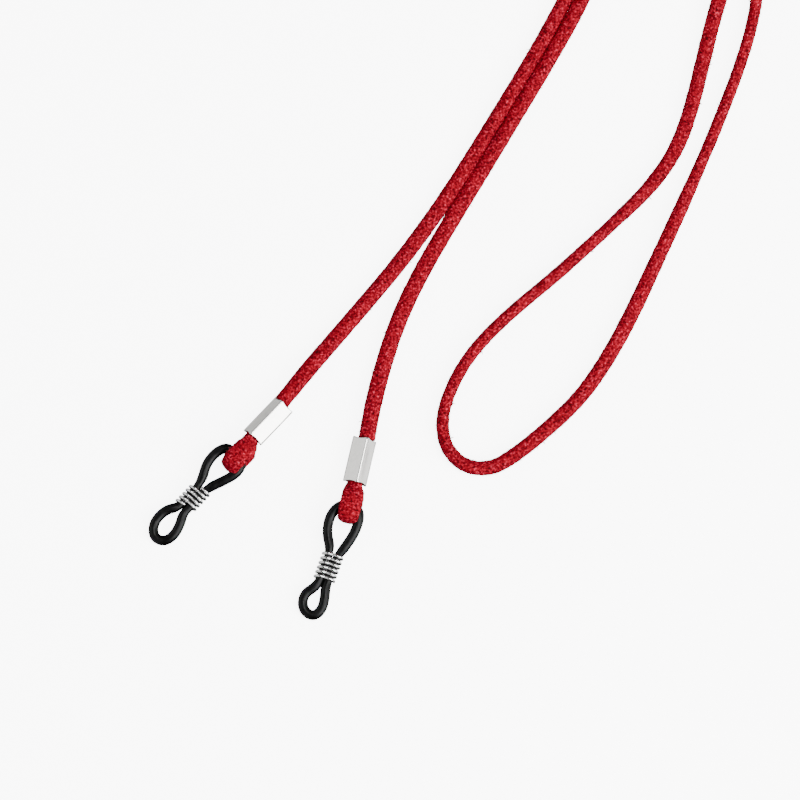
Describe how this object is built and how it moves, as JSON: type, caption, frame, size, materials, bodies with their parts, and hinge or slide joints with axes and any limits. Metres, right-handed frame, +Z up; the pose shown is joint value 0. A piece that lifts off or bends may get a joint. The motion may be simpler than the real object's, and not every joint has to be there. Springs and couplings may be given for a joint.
{
  "type": "eyeglass retainer strap",
  "caption": "Soft round neck cord whose ends fold through rubber loops and are clamped in square metal crimps; a wire coil slides on each loop to grip an eyeglass temple.",
  "frame": {"origin": "on the surface the strap lies on, under the middle of the box round its two end fittings", "axes": "+Z up; the fittings point towards -Y and the cord runs away from them towards +Y; the strap lies in the XY plane"},
  "size_m": [0.1273, 0.1695, 0.0063],
  "materials": {
    "cord_suede": "napped crimson suede",
    "crimp_metal": "bright nickel",
    "loop_rubber": "satin black silicone rubber",
    "coil_wire": "bright nickel wire"
  },
  "bodies": {
    "strap": {"cord_strand_a": "cord_suede", "cord_strand_b": "cord_suede", "cord_neck_loop": "cord_suede", "cord_coil": "cord_suede", "cord_fold_a": "cord_suede", "cord_fold_b": "cord_suede", "crimp_a": "crimp_metal", "crimp_b": "crimp_metal"},
    "loop_a": {"rubber_loop_a": "loop_rubber"},
    "coil_a": {"wire_coil_a": "coil_wire"},
    "loop_b": {"rubber_loop_b": "loop_rubber"},
    "coil_b": {"wire_coil_b": "coil_wire"}
  },
  "joints": [
    {"name": "loop_a_swing", "type": "hinge", "parent": "strap", "child": "loop_a", "pos_m": [-0.00517, 0.01089, 0.0029], "axis": [-0.7254, 0.6884, 0], "range_deg": [0, 150]},
    {"name": "coil_a_slide", "type": "slide", "parent": "loop_a", "child": "coil_a", "axis": [-0.6857, -0.7226, -0.088], "range_m": [-0.002, 0.004], "deforming": ["rubber_loop_a"]},
    {"name": "loop_b_swing", "type": "hinge", "parent": "strap", "child": "loop_b", "pos_m": [0.01783, 0.00026, 0.0029], "axis": [-0.9415, 0.3371, 0], "range_deg": [0, 150]},
    {"name": "coil_b_slide", "type": "slide", "parent": "loop_b", "child": "coil_b", "axis": [-0.3358, -0.9378, -0.088], "range_m": [-0.002, 0.004], "deforming": ["rubber_loop_b"]}
  ]
}
